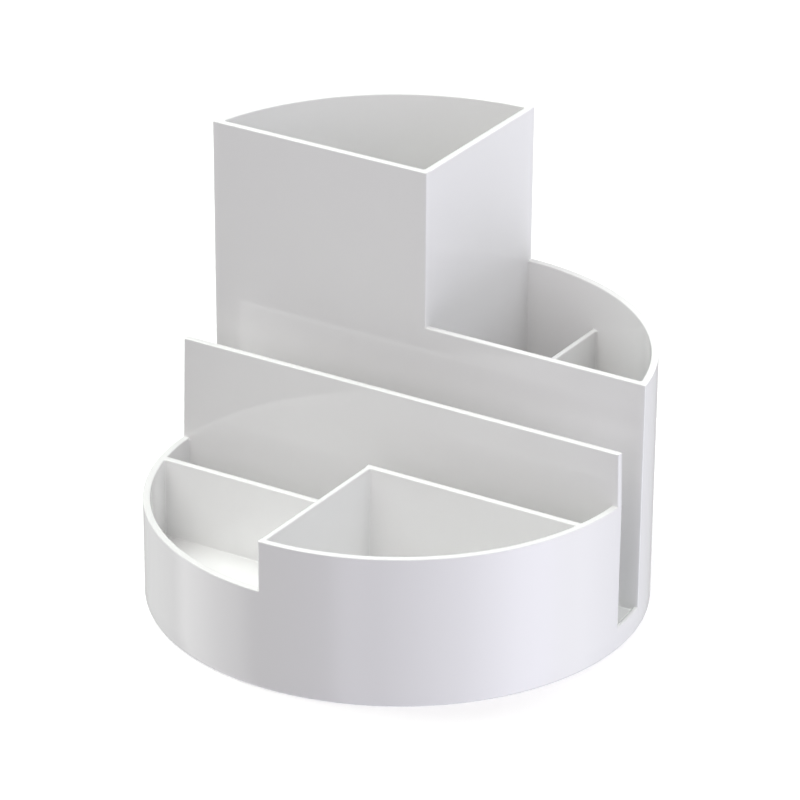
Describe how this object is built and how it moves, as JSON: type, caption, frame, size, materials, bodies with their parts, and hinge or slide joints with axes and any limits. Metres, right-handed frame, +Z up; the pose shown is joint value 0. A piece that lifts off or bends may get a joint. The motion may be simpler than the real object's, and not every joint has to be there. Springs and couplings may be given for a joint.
{
  "type": "desk organizer",
  "caption": "Round white desk organizer: a low drum with a tall pen cup, open-ended letter slot, note slot, low front tray and small open compartments at stepped heights.",
  "frame": {"origin": "centre of the round base, on the surface that it stands on", "axes": "+Z up, X along the letter slot, +Y from the low front tray towards the tall pen cup"},
  "size_m": [0.1405, 0.1412, 0.1198],
  "materials": {
    "gloss_white": "glossy white injection-moulded polystyrene"
  },
  "bodies": {
    "root": {"base": "gloss_white", "front_outer_wall": "gloss_white", "rear_outer_wall": "gloss_white", "letter_front_wall": "gloss_white", "letter_rear_wall": "gloss_white", "note_slot_wall": "gloss_white", "cup_side_wall": "gloss_white", "rear_divider": "gloss_white", "front_divider": "gloss_white"}
  },
  "joints": []
}
